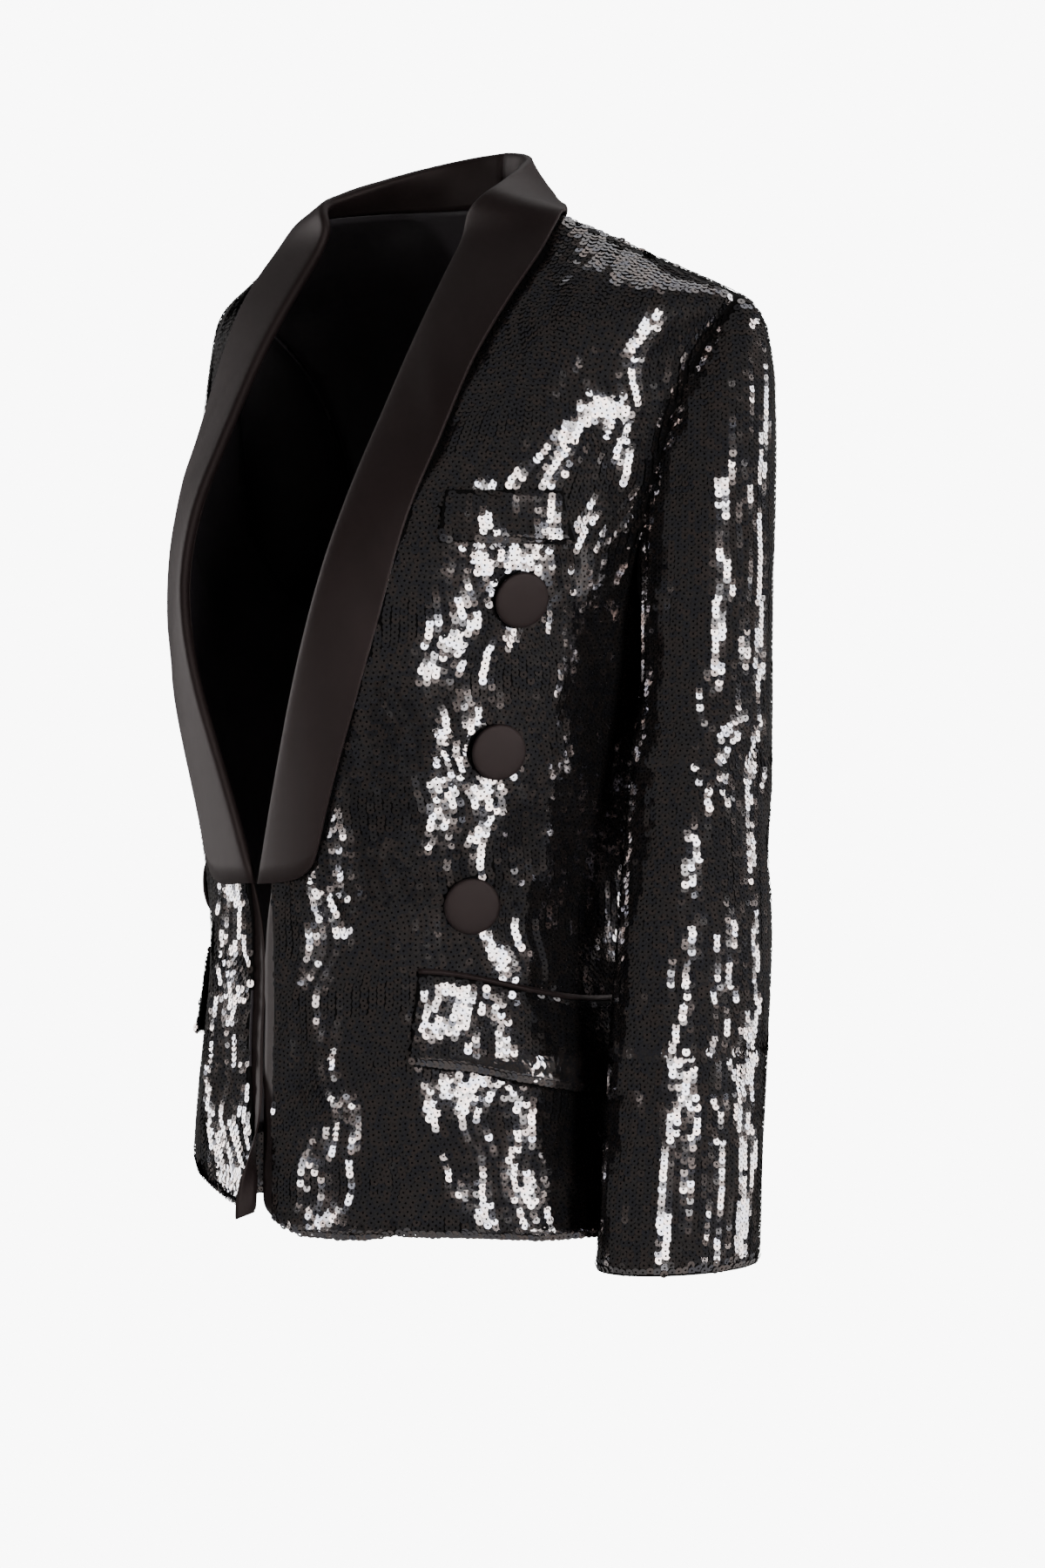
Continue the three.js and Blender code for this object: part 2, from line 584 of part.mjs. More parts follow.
// The sleeve: a cap that leaves the armhole outward, then rings down to the cuff
function sleeveShape(side) {
  const rows = [...SLEEVES[side]].reverse()
  return Object.fromEntries(['x', 'y', 'across', 'ahead'].map(column => [
    column, tableCurve(rows.map(row => row.z), rows.map(row => row[column]))]))
}
const sleeveTurns = [
  ...BODY_ROWS.filter(v => v >= UNDERARM_ROW).reverse()
    .map(v => 180 - (180 * (v - UNDERARM_ROW)) / (1 - UNDERARM_ROW)),
  ...BODY_ROWS.filter(v => v > UNDERARM_ROW && v < 1)
    .map(v => 180 + (180 * (v - UNDERARM_ROW)) / (1 - UNDERARM_ROW)),
]
function sleevePoint(shape, turn, z) {
  const cosine = Math.cos(turn * radians)
  const sine = Math.sin(turn * radians)
  const fold = SLEEVE_FOLDS.reduce((sum, row) => {
    const from = ((turn - row.turn - row.slant * (z - row.z) + 540) % 360) - 180
    return sum + row.height * Math.exp(-((from / row.width) ** 2) - ((z - row.z) / row.length) ** 2)
  }, 0)
  const x = shape.x(z) + (shape.across(z) + fold) * cosine
  const y = shape.y(z) - (shape.ahead(z) + fold) * sine
  return new THREE.Vector3(x, y, z)
}
function capPoint(shape, turn, share) {
  const seam = armhole(turn)
  const under = (1 - Math.cos(turn * radians)) / 2
  const leave = new THREE.Vector3(
    CAP.out - CAP.under * under,
    -CAP.ahead * Math.sin(turn * radians),
    -CAP.down - CAP.drop * under).normalize()
  const start = formPoint(seam.degrees, seam.z).addScaledVector(leave, SLEEVE_GAP)
    .addScaledVector(formNormal(seam.degrees, seam.z), SLEEVE_GAP * under)
  const end = sleevePoint(shape, turn, SLEEVE_ROWS[0])
  const drop = start.z - end.z
  const curve = new THREE.CubicBezierCurve3(
    start,
    start.clone().addScaledVector(leave, drop * CAP.lift),
    end.clone().add(new THREE.Vector3(0, 0, drop * CAP.fall)),
    end)
  return curve.getPoint(share)
}
function sleeveGeometry(side) {
  const shape = sleeveShape(side)
  const rows = [
    ...CAP_ROWS.map(share => turn => capPoint(shape, turn, share)),
    ...SLEEVE_ROWS.map(z => turn => sleevePoint(shape, turn, z)),
  ]
  const outer = rows.map(row => sleeveTurns.map(turn => row(turn)))
  const inner = rows.map((row, r) => sleeveTurns.map((turn, c) => {
    const count = sleeveTurns.length
    const across = outer[r][(c + 1) % count].clone().sub(outer[r][(c + count - 1) % count])
    const low = Math.min(r + 1, rows.length - 1)
    const along = outer[low][c].clone().sub(outer[low - 1][c])
    return outer[r][c].clone().addScaledVector(across.cross(along).normalize(), -CLOTH)
  }))
  return wallGeometry(outer, inner, true)
}

// A flat piece that lies on the front: its corners are places, its points the front's, moved out
function appliedGeometry(place, columns, rows, low, high, cloth) {
  const steps = count => Array.from({ length: count + 1 }, (_, i) => i / count)
  const skin = standoff => steps(rows).map(v => steps(columns).map(u => (
    clothPoint(place(u, v), standoff(v), cloth))))
  return wallGeometry(skin(high), skin(low))
}

// The pockets' places on the front, as shares along and up, and how far their cloth stands off it
const pocketHeight = share => POCKET.z - POCKET.drop * smooth(share * POCKET.bend)
const jetPlace = (u, v) => ({
  degrees: mix(POCKET.from, POCKET.to, u), z: pocketHeight(u) - JET.height * (1 - v) })
const flapPlace = (u, v) => ({
  degrees: mix(POCKET.from - FLAP.slant * (1 - v), POCKET.to, u),
  z: pocketHeight(u) - JET.height - LAYER_GAP - FLAP.height * (1 - v) })
function weltPlace(u, v) {
  const z = mix(WELT.bottom, WELT.top, v)
  return { degrees: angleAt(mix(WELT.from, WELT.to, u), z), z }
}
const jetStand = v => APPLIED_GAP + JET.stand * mix(JET.flat, 1, Math.sin(v * Math.PI))
const flapStand = v => APPLIED_GAP + FLAP.flare * (1 - v)
const jetGeometry = cloth => appliedGeometry(
  jetPlace, POCKET.columns, JET.rows, () => APPLIED_GAP, jetStand, cloth)
const flapGeometry = cloth => appliedGeometry(
  flapPlace, POCKET.columns, FLAP.rows, flapStand, v => flapStand(v) + FLAP.thickness, cloth)
const weltGeometry = cloth => appliedGeometry(
  weltPlace, WELT.columns, WELT.rows, () => APPLIED_GAP, () => APPLIED_GAP + WELT.thickness, cloth)

// A button, turned about its own axis and seated along the cloth's outward direction
function buttonGeometry(place, cloth) {
  const top = BUTTON.stand + BUTTON.thick
  const outline = [
    [0, BUTTON.seat], [BUTTON.shank, BUTTON.seat], [BUTTON.shank, BUTTON.stand],
    [BUTTON.radius - BUTTON.round, BUTTON.stand], [BUTTON.radius, BUTTON.stand + BUTTON.round],
    [BUTTON.radius, top - BUTTON.round - BUTTON.dome / 2],
    [BUTTON.radius - BUTTON.round, top - BUTTON.dome / 2], [0, top],
  ]
  const geometry = new THREE.LatheGeometry(
    outline.map(([x, y]) => new THREE.Vector2(x, y)), BUTTON_SIDES)
  const turn = new THREE.Quaternion().setFromUnitVectors(
    new THREE.Vector3(0, 1, 0), clothNormal(place, cloth))
  const seat = clothPoint(place, 0, cloth)
  return geometry.applyQuaternion(turn).translate(seat.x, seat.y, seat.z)
}

const sequinned = () => new THREE.MeshStandardMaterial({
  color: 0x0b0a0b, roughness: 0.18, metalness: 0.35, side: THREE.DoubleSide })
const satin = () => new THREE.MeshStandardMaterial({ color: 0x1a1516, roughness: 0.45 })
const covered = () => new THREE.MeshStandardMaterial({ color: 0x241c1c, roughness: 0.6 })

const group = new THREE.Group()
function addPiece(name, geometry, material) {
  const mesh = new THREE.Mesh(geometry, material)
  mesh.name = name
  group.add(mesh)
}

addPiece('front_left', frontGeometry(BODY.frontLeft), sequinned())
addPiece('front_right', mirrored(frontGeometry(BODY.frontRight)), sequinned())
addPiece('back_left', backGeometry(BODY.backLeft), sequinned())
addPiece('back_right', mirrored(backGeometry(BODY.backRight)), sequinned())
addPiece('sleeve_left', sleeveGeometry('left'), sequinned())
addPiece('sleeve_right', mirrored(sleeveGeometry('right')), sequinned())
addPiece('collar_left', collarGeometry(LAPEL_DROP.left), satin())
addPiece('collar_right', mirrored(collarGeometry(LAPEL_DROP.right)), satin())
addPiece('facing_left', facingGeometry(BODY.frontLeft), satin())
addPiece('facing_right', mirrored(facingGeometry(BODY.frontRight)), satin())
addPiece('breast_welt', weltGeometry(BODY.frontLeft), sequinned())
for (const [side, cloth] of [['left', BODY.frontLeft], ['right', BODY.frontRight]]) {
  const place = geometry => (side === 'left' ? geometry : mirrored(geometry))
  addPiece(`jet_${side}`, place(jetGeometry(cloth)), satin())
  addPiece(`flap_${side}`, place(flapGeometry(cloth)), sequinned())
  for (const button of BUTTONS) {
    addPiece(`button_${side}_${button.name}`, place(buttonGeometry(button, cloth)), covered())
  }
}

export default group
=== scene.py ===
"""The looks of a sequined evening blazer with a satin shawl collar, built around its CAD solids.

Each cloth solid is replaced by a smoother shell of the same form with soft creases, the sequinned
pieces carry rows of overlapping discs, and the camera and soft lights follow the photograph.
"""

import itertools
import json
import math

import bmesh
import bpy
import numpy as np
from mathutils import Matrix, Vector
from mathutils.bvhtree import BVHTree


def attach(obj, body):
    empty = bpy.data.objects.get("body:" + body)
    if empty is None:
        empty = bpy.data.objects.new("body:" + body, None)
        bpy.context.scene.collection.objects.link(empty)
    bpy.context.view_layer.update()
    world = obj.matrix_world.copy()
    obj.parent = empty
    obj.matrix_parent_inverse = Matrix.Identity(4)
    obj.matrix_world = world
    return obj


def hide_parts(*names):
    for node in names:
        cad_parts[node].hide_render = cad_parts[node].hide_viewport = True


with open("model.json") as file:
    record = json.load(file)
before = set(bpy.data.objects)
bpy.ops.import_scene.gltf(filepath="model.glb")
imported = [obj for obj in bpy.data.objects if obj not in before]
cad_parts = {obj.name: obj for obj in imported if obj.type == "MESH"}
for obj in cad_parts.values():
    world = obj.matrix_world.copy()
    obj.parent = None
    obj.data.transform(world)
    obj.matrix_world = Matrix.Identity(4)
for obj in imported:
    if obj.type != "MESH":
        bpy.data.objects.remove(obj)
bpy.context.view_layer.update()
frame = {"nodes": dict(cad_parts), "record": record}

MM = 0.001

# Camera, from the photograph: where it stands around the blazer, how it tilts and how long its lens is
CAMERA_AZIMUTH = 45.0
CAMERA_PITCH = 3.08
CAMERA_DISTANCE = 3.0
CAMERA_ASIDE = 0.0306
CAMERA_HEIGHT = -0.183
CAMERA_LENS = 111.6
CAMERA_SENSOR = 36.0
CAMERA_NEAR = 0.1
CAMERA_FAR = 100.0

# Sequins: their size, how far apart they sit along and across a row, and how they lie
SEQUIN_RADIUS = 2.5 * MM
HOLE_RADIUS = 0.8 * MM
SEQUIN_CORNERS = 8
HOLE_CORNERS = 4
SEQUIN_PITCH = 3.4 * MM
ROW_PITCH = 4.1 * MM
SEQUIN_STAND = 0.65 * MM
SEQUIN_LEAN = 7.0
SEQUIN_LOOSE = 1.0
SEQUIN_SCATTER = 0.25 * MM
COVER_REACH = 9.0 * MM
SEED = 7

# How a skin is read: room kept at its edges, step from level to level, how squarely a ray has to meet
# it, how many levels a row needs, how many rows are tried past each end, and how much of its first
# pitch a row may skip
EDGE_ROOM = 0.2 * MM
LEVEL_STEP = 1.8 * MM
GRAZING = 0.05
SHORTEST_RUN = 3
SPARE_ROWS = 3
FIRST_STOP = 0.5

# The columns at which a sequin's values part: centre, normal, direction, twist and nod
SPOT_PARTS = (3, 6, 9, 10)

# Sleeve caps lie open towards the body from this height up. Rays that come from the body there by
# more than this sine of their bearing are skipped.
CAP_LEVEL = -0.235
CAP_BARE = {"sleeve_left": 0.6, "sleeve_right": 0.0}

# Each row also twists and nods on its own: how far in degrees, and over what length
ROW_TWIST = 3.2
ROW_NOD = 2.4
ROW_RUN = 30.0 * MM

# Slow waves of the net under the sequins: length across and up in metres, phase in radians, and
# tilt in degrees. Lengths across are measured on a round body of this radius.
RIPPLES = [
    (0.024, 0.170, 0.3, 2.4),
    (0.037, -0.115, 1.9, 2.4),
    (0.015, 0.090, 4.1, 1.6),
    (0.058, 0.280, 5.2, 2.4),
]
RIPPLE_RADIUS = 0.15

# How the rows wander across the cloth: how far, length up and across in metres, and phase in radians
WANDERS = [
    (6.0 * MM, 0.12, 0.26, 0.0),
    (2.6 * MM, 0.052, -0.17, 1.3),
]

# The upright centre line of the body, and that of a sleeve: how far above the hem it starts, where
# it ends, its step, and half the height of the rings that it is read from
BODY_CENTRE = (0.0, -0.025)
SLEEVE_START = 10.0 * MM
SLEEVE_TOP = -0.262
CENTRE_STEP = 20.0 * MM
RING_HALF = 35.0 * MM

# How each kind of piece is read: first and last bearing in degrees on the wearer's left, their step,
# how far from the centre line the rays start, and how much of the wander its rows have
READINGS = {
    "front": (-2.0, 100.0, 0.5, 0.4, 1.0),
    "back": (80.0, 181.0, 0.5, 0.4, 0.35),
    "flap": (-2.0, 100.0, 0.5, 0.4, 0.5),
    "sleeve": (-180.0, 180.0, 2.0, 0.085, 0.12),
    "welt": (20.0, 80.0, 0.5, 0.4, 0.3),
}

# How far from the middle the upright lines stand from which the rows of fronts and welt are counted
FRONT_LINE = 0.09
WELT_LINE = 0.13

# Soft creases: piece, bearing round the body or sleeve in degrees, height, half width, half length
# and depth in millimetres (below zero is a trough), and how far it slants across for each
# millimetre up
CREASES = [
    ("front_left", 62, -215, 16, 70, -2.6, 0.25),
    ("front_left", 74, -290, 13, 60, 2.2, 0.3),
    ("front_left", 48, -345, 14, 55, -1.8, -0.2),
    ("front_left", 36, -430, 15, 60, 1.6, 0.1),
    ("front_left", 70, -395, 12, 34, -2.2, 0.7),
    ("front_left", 55, -520, 20, 70, -1.8, 0.05),
    ("front_left", 79, -150, 12, 55, -2.4, 0.1),
    ("front_right", -58, -230, 15, 65, -2.4, -0.25),
    ("front_right", -72, -330, 13, 60, 2.0, -0.3),
    ("front_right", -34, -450, 11, 60, -3.2, 0.1),
    ("front_right", -20, -470, 10, 70, 2.6, -0.15),
    ("front_right", -50, -520, 14, 60, -2.0, 0.1),
    ("back_left", 120, -300, 15, 80, -2.8, 0.2),
    ("back_left", 141, -370, 14, 55, -2.2, 0.5),
    ("back_left", 161, -395, 12, 40, -2.6, 0.9),
    ("back_left", 131, -170, 16, 55, -2.0, 0.4),
    ("back_left", 150, -500, 18, 80, 2.0, 0.0),
    ("back_right", -118, -280, 16, 75, -2.6, -0.25),
    ("back_right", -139, -390, 13, 50, -2.4, -0.6),
    ("back_right", -160, -360, 12, 45, -2.2, -0.8),
    ("back_right", -130, -150, 15, 50, -1.8, -0.3),
    ("back_right", -148, -510, 18, 75, 2.0, 0.05),
    ("sleeve_left", 25, -180, 11, 60, -1.8, 0.1),
    ("sleeve_left", 60, -300, 12, 60, -2.0, 0.35),
    ("sleeve_left", 20, -380, 13, 55, 1.8, -0.2),
    ("sleeve_left", 75, -450, 12, 60, -2.0, 0.25),
    ("sleeve_left", 40, -540, 14, 60, -1.6, 0.0),
    ("sleeve_left", 130, -350, 12, 40, -2.6, 0.8),
    ("sleeve_left", 160, -400, 12, 42, -2.4, 0.7),
    ("sleeve_left", -60, -330, 13, 55, -2.2, -0.4),
    ("sleeve_left", -110, -390, 12, 50, -2.4, -0.7),
    ("sleeve_right", -25, -180, 11, 60, -1.8, -0.1),
    ("sleeve_right", -58, -320, 12, 60, -2.0, -0.35),
    ("sleeve_right", -24, -400, 13, 55, 1.8, 0.2),
    ("sleeve_right", -72, -480, 12, 60, -2.0, -0.2),
    ("sleeve_right", -135, -360, 12, 40, -2.4, -0.8),
    ("sleeve_right", 70, -350, 13, 55, -2.2, 0.4),
    ("sleeve_right", 118, -400, 12, 50, -2.4, 0.6),
    ("collar_left", 98, 20, 5, 16, 0.7, 0.3),
    ("collar_left", 113, 24, 4, 13, -0.8, 0.2),
    ("collar_left", 127, 25, 5, 15, 0.9, 0.1),
    ("collar_left", 141, 27, 4, 14, -0.7, 0.0),
    ("collar_left", 158, 28, 6, 16, 0.8, -0.1),
    ("collar_left", 44, -120, 7, 60, 0.9, 0.1),
    ("collar_left", 33, -250, 8, 50, -1.0, 0.3),
    ("collar_right", -104, 21, 5, 15, 0.8, -0.2),
    ("collar_right", -119, 25, 4, 14, -0.7, -0.1),
    ("collar_right", -136, 26, 5, 15, 0.9, -0.1),
    ("collar_right", -155, 28, 5, 14, -0.8, 0.1),
    ("collar_right", -41, -140, 8, 55, 0.9, -0.1),
    ("collar_right", -31, -270, 8, 50, -1.0, -0.3),
]

# Cut sizes of the cloth: width and length of each piece's flat cut in metres, its area in square
# metres, how it is held and what it lies on
CUTS = {
    "front": (0.300, 0.610, 0.130, "hung", []),
    "back": (0.240, 0.630, 0.129, "hung", []),
    "sleeve": (0.310, 0.570, 0.130, "hung", []),
    "collar": (0.110, 0.580, 0.036, "folded", ["front", "back"]),
    "facing": (0.110, 0.700, 0.046, "laid", ["front"]),
    "flap": (0.150, 0.056, 0.0075, "laid", ["front"]),
    "welt": (0.086, 0.030, 0.0024, "laid", ["front"]),
    "jet": (0.140, 0.0100, 0.0007, "laid", ["front"]),
}

# Shells: how often they are subdivided, how near points are joined, and from what turn on an edge is
# a rim, which stays firm when the rest is smoothed
SUBDIVISIONS = 2
SAME_POINT = 1e-6
RIM_ANGLE = math.radians(55.0)
RIM_FIRMNESS = 1.0

# Seams: how near to its neighbour a point is drawn onto it, how far into it, and over what length
# beside a seam the creases fade
SEAM_REACH = 1.1 * MM
SEAM_BITE = 0.15 * MM
SEAM_CALM = 14.0 * MM
SEWN = [
    ("sleeve_left", "front_left"), ("sleeve_left", "back_left"), ("front_left", "back_left"),
    ("sleeve_right", "front_right"), ("sleeve_right", "back_right"), ("front_right", "back_right"),
    ("back_left", "back_right"), ("collar_left", "collar_right"), ("facing_left", "facing_right"),
]

# Cloth: how uneven its threads are, and the detail and range of its slow changes of colour
YARN_UNEVENNESS = 1.5
MOTTLE_DETAIL = 4.0
MOTTLE_RANGE = (0.3, 0.7)

# The sequins' film: its tints and its roughness, over the discs' tones from 0 to 1
FILM_TINTS = [(0.0, (0.13, 0.13, 0.15)), (0.5, (0.16, 0.15, 0.15)), (1.0, (0.20, 0.165, 0.155))]
FILM_ROUGHNESS = (0.06, 0.13)

# The gathers at a button's rim: how many, where they start as a share of its radius, and how strong
# and deep they are
GATHERS = 22
GATHER_START = 0.72
GATHER_STRENGTH = 0.5
GATHER_DEPTH = 0.4 * MM

# Soft boxes: bearing round the blazer, elevation, distance, width, height and power
LIGHTS = [
    ("key", 71.0, 2.0, 3.4, 0.36, 2.8, 80.0),
    ("centre", -6.0, -7.0, 3.4, 0.2, 1.4, 20.0),
    ("wearer_right", -66.0, 4.0, 3.2, 0.45, 2.4, 70.0),
    ("side", 116.0, 6.0, 3.2, 0.2, 2.4, 36.0),
    ("rim", 152.0, 12.0, 3.0, 0.5, 2.4, 60.0),
    ("overhead", -162.0, 62.0, 2.8, 2.6, 1.8, 20.0),
]
LIGHTS_AIM = (0.0, 0.0, -0.3)

# The studio: how bright its white is to the camera and how much of it lights the blazer
WORLD_SEEN = 9.0
WORLD_LIGHT = 0.12
WORLD_TINT = (1.0, 0.98, 0.97, 1.0)
WHITE = (1.0, 1.0, 1.0, 1.0)
FLOOR_LEVEL = -1.45
FLOOR_SIZE = 40.0


def node_kind(name):
    """The kind of a piece, such as front or sleeve, from its node's name."""
    return name.split("_")[-1] if name == "breast_welt" else name.split("_")[0]


def side_of(name):
    """The side of the wearer that a piece is on, left or right."""
    return "left" if name == "breast_welt" else name.split("_")[1]


def side_sign(name):
    """1 for a piece on the wearer's left and -1 for one on the right."""
    return 1 if side_of(name) == "left" else -1


def add_object(name, data):
    """A new object in the scene."""
    thing = bpy.data.objects.new(name, data)
    bpy.context.scene.collection.objects.link(thing)
    return thing


# Shells


def spans_wall(face, firm):
    """Whether a face has firm edges on opposite sides, as the cut edge of a cloth's wall has."""
    edges = [edge for edge in face.edges if edge[firm] > 0]
    return any(set(a.verts).isdisjoint(b.verts) for a, b in itertools.combinations(edges, 2))


def quad_mesh(source, name, rounded):
    """A CAD node's mesh as a new one, with its points joined and its triangles paired to quads. The
    corners of a rounded one's outline are left to soften."""
    bm = bmesh.new()
    bm.from_mesh(source.data)
    bmesh.ops.remove_doubles(bm, verts=bm.verts, dist=SAME_POINT)
    bmesh.ops.join_triangles(
        bm, faces=bm.faces, angle_face_threshold=math.pi, angle_shape_threshold=math.pi
    )
    firm = bm.edges.layers.float.new("crease_edge")
    for edge in bm.edges:
        if len(edge.link_faces) == 2 and edge.calc_face_angle() > RIM_ANGLE:
            edge[firm] = RIM_FIRMNESS
    rim = bm.faces.layers.int.new("rim")
    for face in bm.faces:
        face[rim] = int(spans_wall(face, firm))
    if rounded:
        for edge in bm.edges:
            if all(face[rim] for face in edge.link_faces):
                edge[firm] = 0.0
    mesh = bpy.data.meshes.new(name)
    bm.to_mesh(mesh)
    bm.free()
    return mesh


def smoothed(source, name, rounded):
    """A new object on a CAD node's form, subdivided so that its facets turn into smooth curves."""
    rough = add_object(name + "_rough", quad_mesh(source, name, rounded))
    modifier = rough.modifiers.new("Smooth", "SUBSURF")
    modifier.levels = SUBDIVISIONS
    graph = bpy.context.evaluated_depsgraph_get()
    mesh = bpy.data.meshes.new_from_object(rough.evaluated_get(graph))
    mesh.name = name
    bpy.data.objects.remove(rough)
    mesh.shade_smooth()
    return add_object(name, mesh)


def points_of(shell):
    """The points of an object's mesh as an array."""
    co = np.empty(len(shell.data.vertices) * 3)
    shell.data.vertices.foreach_get("co", co)
    return co.reshape(-1, 3)


def set_points(shell, points):
    """Puts the points of an object's mesh where an array says."""
    shell.data.vertices.foreach_set("co", points.astype(np.float32).ravel())
    shell.data.update()


def sleeve_centres(name):
    """The centre line of a sleeve as heights and x and y, from the CAD node's own rings."""
    co = points_of(frame["nodes"][name])
    heights = np.arange(co[:, 2].min() + SLEEVE_START, SLEEVE_TOP, CENTRE_STEP)
    rings = [co[np.abs(co[:, 2] - z) < RING_HALF] for z in heights]
    middles = np.array([(ring.min(0) + ring.max(0)) / 2 for ring in rings])
    return heights, middles[:, 0], middles[:, 1]


def centre_line(name):
    """A function from heights to the x and y of the line around which a piece is read."""
    if node_kind(name) != "sleeve":
        return lambda z: (np.full_like(z, BODY_CENTRE[0]), np.full_like(z, BODY_CENTRE[1]))
    heights, x, y = sleeve_centres(name)
    return lambda z: (np.interp(z, heights, x), np.interp(z, heights, y))


# Materials


def new_material(name, base, roughness, **inputs):
    """A material with its main shader and the values that are the same all over."""
    material = bpy.data.materials.new(name)
    material.use_nodes = True
    shader = material.node_tree.nodes["Principled BSDF"]
    shader.inputs["Base Color"].default_value = (*base, 1.0)
    shader.inputs["Roughness"].default_value = roughness
    for key, value in inputs.items():
        shader.inputs[key.replace("_", " ")].default_value = value
    return material


def link(tree, source, output, target, socket):
    """Joins two nodes of a material."""
    tree.links.new(source.outputs[output], target.inputs[socket])


def add_node(tree, kind, **inputs):
    """A new node of a material, with the inputs that are the same all over."""
    node = tree.nodes.new("ShaderNode" + kind)
    for key, value in inputs.items():
        node.inputs[key.replace("_", " ")].default_value = value
    return node


def stored_value(tree, name):
    """A node that gives a value stored on the mesh."""
    node = add_node(tree, "Attribute")
    node.attribute_name = name
    return node


def add_weave(material, thread, strength, depth):
    """A fine weave: two crossed waves of threads, as bump, with uneven yarn mixed in."""
    tree = material.node_tree
    place = add_node(tree, "TexCoord")
    total = add_node(tree, "Math")
    total.operation = "ADD"
    for index, direction in enumerate(("X", "Z")):
        wave = add_node(tree, "TexWave", Scale=1 / thread, Distortion=YARN_UNEVENNESS)
        wave.bands_direction = direction
        link(tree, place, "Object", wave, "Vector")
        link(tree, wave, "Fac", total, index)
    bump = add_node(tree, "Bump", Strength=strength, Distance=depth)
    link(tree, total, 0, bump, "Height")
    link(tree, bump, "Normal", tree.nodes["Principled BSDF"], "Normal")


def add_mottle(material, low, high, size):
    """Slow changes of colour between two tones, as in real dyed cloth."""
    tree = material.node_tree
    place = add_node(tree, "TexCoord")
    noise = add_node(tree, "TexNoise", Scale=1 / size, Detail=MOTTLE_DETAIL)
    ramp = add_node(tree, "ValToRGB")
    for element, position, colour in zip(ramp.color_ramp.elements, MOTTLE_RANGE, (low, high)):
        element.position = position
        element.color = (*colour, 1.0)
    link(tree, place, "Object", noise, "Vector")
    link(tree, noise, "Fac", ramp, "Fac")
    link(tree, ramp, "Color", tree.nodes["Principled BSDF"], "Base Color")


def sequin_material():
    """Glossy black film whose tint and gloss change a little from disc to disc."""
    material = new_material("sequin", base=(0.15, 0.145, 0.145), roughness=0.12, Metallic=0.95)
    tree = material.node_tree
    shader = tree.nodes["Principled BSDF"]
    tone = stored_value(tree, "tone")
    ramp = add_node(tree, "ValToRGB")
    middle, _ = FILM_TINTS[1]
    ramp.color_ramp.elements.new(middle)
    for element, (position, colour) in zip(ramp.color_ramp.elements, FILM_TINTS):
        element.position = position
        element.color = (*colour, 1.0)
    link(tree, tone, "Fac", ramp, "Fac")
    link(tree, ramp, "Color", shader, "Base Color")
    smooth, dull = FILM_ROUGHNESS
    rough = add_node(tree, "MapRange", To_Min=smooth, To_Max=dull)
    link(tree, tone, "Fac", rough, "Value")
    link(tree, rough, "Result", shader, "Roughness")
    return material


def ground_material():
    """The matt black net that the sequins are sewn on."""
    base = (0.004, 0.0035, 0.0035)
    material = new_material("net_ground", base, roughness=0.85, Specular_IOR_Level=0.1)
    add_weave(material, thread=0.9 * MM, strength=0.6, depth=0.2 * MM)
    return material


def satin_material():
    """Black satin with a faint warm shine."""
    base = (0.010, 0.007, 0.007)
    shine = (1.0, 0.82, 0.8, 1.0)
    material = new_material(
        "satin", base, roughness=0.5, Specular_IOR_Level=0.3, Specular_Tint=shine
    )
    add_mottle(material, low=(0.009, 0.0055, 0.0055), high=(0.014, 0.009, 0.009), size=0.05)
    add_weave(material, thread=0.35 * MM, strength=0.25, depth=0.05 * MM)
    return material


def button_material(cloth):
    """The satin of the buttons, drawn into small gathers at their rims."""
    material = cloth.copy()
    material.name = "button_satin"
    tree = material.node_tree
    shader = tree.nodes["Principled BSDF"]
    weave = shader.inputs["Normal"].links[0].from_node
    turn = stored_value(tree, "turn")
    rim = stored_value(tree, "rim")
    wave = add_node(tree, "Math")
    wave.operation = "SINE"
    near = add_node(tree, "MapRange", From_Min=GATHER_START, From_Max=1.0)
    near.interpolation_type = "SMOOTHSTEP"
    height = add_node(tree, "Math")
    height.operation = "MULTIPLY"
    gather = add_node(tree, "Bump", Strength=GATHER_STRENGTH, Distance=GATHER_DEPTH)
    link(tree, turn, "Fac", wave, 0)
    link(tree, rim, "Fac", near, "Value")
    link(tree, wave, 0, height, 0)
    link(tree, near, "Result", height, 1)
    link(tree, height, 0, gather, "Height")
    link(tree, weave, "Normal", gather, "Normal")
    link(tree, gather, "Normal", shader, "Normal")
    return material


def lining_material():
    """The black lining inside fronts, backs and sleeves."""
    base = (0.034, 0.030, 0.033)
    material = new_material("lining", base, roughness=0.42, Specular_IOR_Level=0.35)
    add_mottle(material, low=(0.028, 0.024, 0.027), high=(0.042, 0.036, 0.040), size=0.06)
    add_weave(material, thread=0.3 * MM, strength=0.2, depth=0.04 * MM)
    return material


sequin = sequin_material()
satin = satin_material()
lining = lining_material()
looks = {
    "satin": satin,
    "sequinned_cloth": ground_material(),
    "covered_button": button_material(satin),
}

# Pieces


def line_inside(shell, name):
    """Gives the faces that look at a piece's centre line the lining's material."""
    shell.data.materials.append(lining)
    count = len(shell.data.polygons)
    centres = np.empty(count * 3)
    normals = np.empty(count * 3)
    shell.data.polygons.foreach_get("center", centres)
    shell.data.polygons.foreach_get("normal", normals)
    centres, normals = centres.reshape(-1, 3), normals.reshape(-1, 3)
    cx, cy = centre_line(name)(centres[:, 2])
    away = np.stack([centres[:, 0] - cx, centres[:, 1] - cy], 1)
    inward = (away * normals[:, :2]).sum(1) < 0
    shell.data.polygons.foreach_set("material_index", inward.astype(np.int32))


